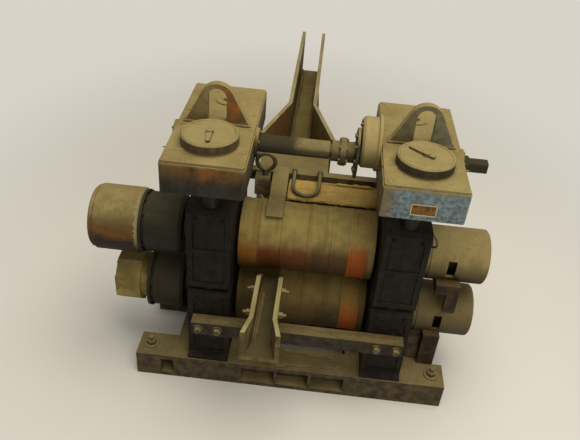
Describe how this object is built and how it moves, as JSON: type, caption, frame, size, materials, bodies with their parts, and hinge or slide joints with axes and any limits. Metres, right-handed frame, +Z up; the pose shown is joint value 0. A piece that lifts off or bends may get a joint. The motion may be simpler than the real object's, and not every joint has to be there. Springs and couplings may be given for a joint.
{
  "type": "rolling mill stand",
  "caption": "Two-high bar mill stand: grooved rolls in stacked chocks on columns, screwdown caps with lifting lugs, couplings, guide troughs",
  "frame": {"origin": "on the floor under the base frame, below the middle of the roll barrels", "axes": "+X along the rolls toward the operator's side, +Y the way the bar runs, +Z up"},
  "size_m": [2.136, 3.52, 1.709],
  "materials": {
    "dusty_steel": "steel under a thick coat of tan scale dust",
    "bare_steel": "turned steel, oiled, with dust on top",
    "greasy_casting": "black grease and scale on a casting",
    "roll_iron": "turned roll iron with rust bands and tan dust",
    "rusty_steel": "brown rust with dust on the upper faces",
    "rusty_paint": "dark paint worn to rust",
    "blue_grey_paint": "blue-grey paint, chipped",
    "pipe_paint": "grey-green paint on steel pipe, with dust"
  },
  "bodies": {
    "stand": {"base_frame": "dusty_steel", "end_pedestal": "dusty_steel", "column_left_front": "bare_steel", "column_left_back": "bare_steel", "column_right_front": "bare_steel", "column_right_back": "bare_steel", "lower_chock_left": "greasy_casting", "lower_chock_right": "greasy_casting", "lower_end_cover": "greasy_casting", "lower_keeper": "rusty_steel", "cap_left": "rusty_paint", "cap_right": "blue_grey_paint", "lifting_lug_left": "rusty_steel", "lifting_lug_right": "rusty_steel", "dial_left": "dusty_steel", "dial_right": "dusty_steel", "pointer_left": "dusty_steel", "pointer_right": "dusty_steel", "clutch_drum": "dusty_steel", "exit_guide_box": "dusty_steel", "exit_trough": "dusty_steel", "exit_trough_stand": "dusty_steel", "front_rest_bar": "greasy_casting", "back_rest_bar": "greasy_casting", "entry_guide": "rusty_steel"},
    "upper_chocks": {"upper_chock_left": "greasy_casting", "upper_chock_right": "greasy_casting", "upper_end_cover": "greasy_casting", "upper_keeper": "rusty_steel", "back_cross_bar": "greasy_casting", "bar_clamp": "greasy_casting", "roll_tab": "dusty_steel", "roll_guard": "dusty_steel", "spray_pipe": "pipe_paint"},
    "upper_roll_set": {"upper_roll": "roll_iron", "upper_coupling_hub": "greasy_casting", "upper_coupling_sleeve": "dusty_steel"},
    "lower_roll_set": {"lower_roll": "roll_iron", "lower_coupling_hub": "greasy_casting", "lower_coupling_sleeve": "dusty_steel"},
    "cross_shaft_set": {"cross_shaft": "bare_steel", "shaft_sleeve": "dusty_steel", "clutch_flange": "rusty_steel"}
  },
  "joints": [
    {"name": "screwdown", "type": "slide", "parent": "stand", "child": "upper_chocks", "axis": [0, 0, 1], "range_m": [-0.006, 0.04]},
    {"name": "upper_roll_spin", "type": "hinge", "parent": "upper_chocks", "child": "upper_roll_set", "pos_m": [0, 0, 0.846], "axis": [1, 0, 0], "continuous": true},
    {"name": "lower_roll_spin", "type": "hinge", "parent": "stand", "child": "lower_roll_set", "pos_m": [0, 0, 0.454], "axis": [1, 0, 0], "continuous": true},
    {"name": "cross_shaft_spin", "type": "hinge", "parent": "stand", "child": "cross_shaft_set", "pos_m": [0, -0.022, 1.417], "axis": [1, 0, 0], "continuous": true}
  ]
}
